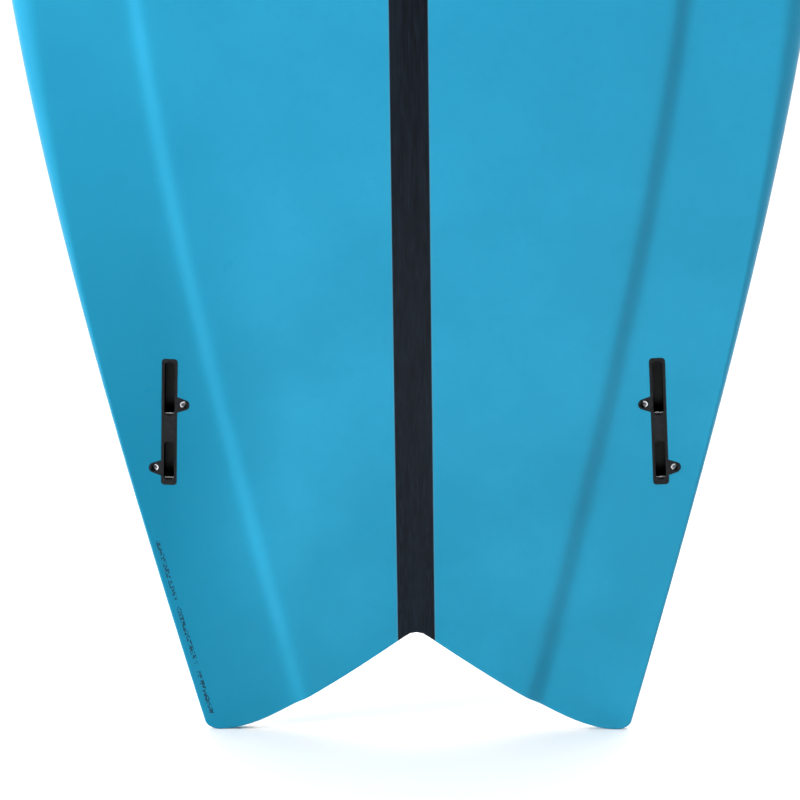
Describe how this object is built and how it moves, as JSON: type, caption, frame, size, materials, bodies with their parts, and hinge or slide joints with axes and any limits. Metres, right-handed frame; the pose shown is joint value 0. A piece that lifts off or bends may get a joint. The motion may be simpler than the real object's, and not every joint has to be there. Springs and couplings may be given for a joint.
{
  "type": "surfboard",
  "caption": "Swallow-tail twin-fin shortboard: foam core, stringer, tinted glass skin, carbon strips, click-in fin boxes and a leash cup.",
  "frame": {"origin": "between the two tail tips, at the lowest point of the upright board, mid depth", "axes": "+Z along the board to the nose; -Y out of the bottom, +Y out of the deck; +X to the right seen from the bottom"},
  "size_m": [0.553, 0.1203, 1.7265],
  "materials": {
    "foam": "matte",
    "hard_foam": "matte",
    "wood": "raw",
    "blue_resin": "gloss",
    "carbon": "gloss",
    "black_plastic": "satin",
    "steel": "satin"
  },
  "bodies": {
    "board": {"bottom_laminate": "blue_resin", "deck_laminate": "blue_resin", "bottom_carbon_strip": "carbon", "deck_carbon_strip": "carbon", "foam_core_left": "foam", "foam_core_right": "foam", "stringer": "wood", "leash_cup": "black_plastic", "leash_pin": "steel", "leash_cup_insert": "hard_foam", "fin_box_left": "black_plastic", "fin_box_insert_left": "hard_foam", "fin_box_right": "black_plastic", "fin_box_insert_right": "hard_foam"},
    "grub_screw_front_left": {"grub_screw_front_left": "steel"},
    "fin_barb_front_left": {"fin_barb_front_left": "steel"},
    "grub_screw_rear_left": {"grub_screw_rear_left": "steel"},
    "fin_barb_rear_left": {"fin_barb_rear_left": "steel"},
    "grub_screw_front_right": {"grub_screw_front_right": "steel"},
    "fin_barb_front_right": {"fin_barb_front_right": "steel"},
    "grub_screw_rear_right": {"grub_screw_rear_right": "steel"},
    "fin_barb_rear_right": {"fin_barb_rear_right": "steel"}
  },
  "joints": [
    {"name": "grub_screw_front_left_slide", "type": "slide", "parent": "board", "child": "grub_screw_front_left", "axis": [-0.4996, 0.8608, 0.0976], "range_m": [0, 0.0035]},
    {"name": "fin_barb_front_left_slide", "type": "slide", "parent": "board", "child": "fin_barb_front_left", "axis": [-0.042, 0.0884, -0.9952], "range_m": [0, 0.0011], "stiffness_N_per_m": 300},
    {"name": "grub_screw_rear_left_slide", "type": "slide", "parent": "board", "child": "grub_screw_rear_left", "axis": [0.4996, 0.8645, 0.0557], "range_m": [0, 0.0035]},
    {"name": "fin_barb_rear_left_slide", "type": "slide", "parent": "board", "child": "fin_barb_rear_left", "axis": [-0.042, 0.0884, -0.9952], "range_m": [0, 0.0011], "stiffness_N_per_m": 300},
    {"name": "grub_screw_front_right_slide", "type": "slide", "parent": "board", "child": "grub_screw_front_right", "axis": [0.4996, 0.8608, 0.0976], "range_m": [0, 0.0035]},
    {"name": "fin_barb_front_right_slide", "type": "slide", "parent": "board", "child": "fin_barb_front_right", "axis": [0.042, 0.0884, -0.9952], "range_m": [0, 0.0011], "stiffness_N_per_m": 300},
    {"name": "grub_screw_rear_right_slide", "type": "slide", "parent": "board", "child": "grub_screw_rear_right", "axis": [-0.4996, 0.8645, 0.0557], "range_m": [0, 0.0035]},
    {"name": "fin_barb_rear_right_slide", "type": "slide", "parent": "board", "child": "fin_barb_rear_right", "axis": [0.042, 0.0884, -0.9952], "range_m": [0, 0.0011], "stiffness_N_per_m": 300}
  ]
}
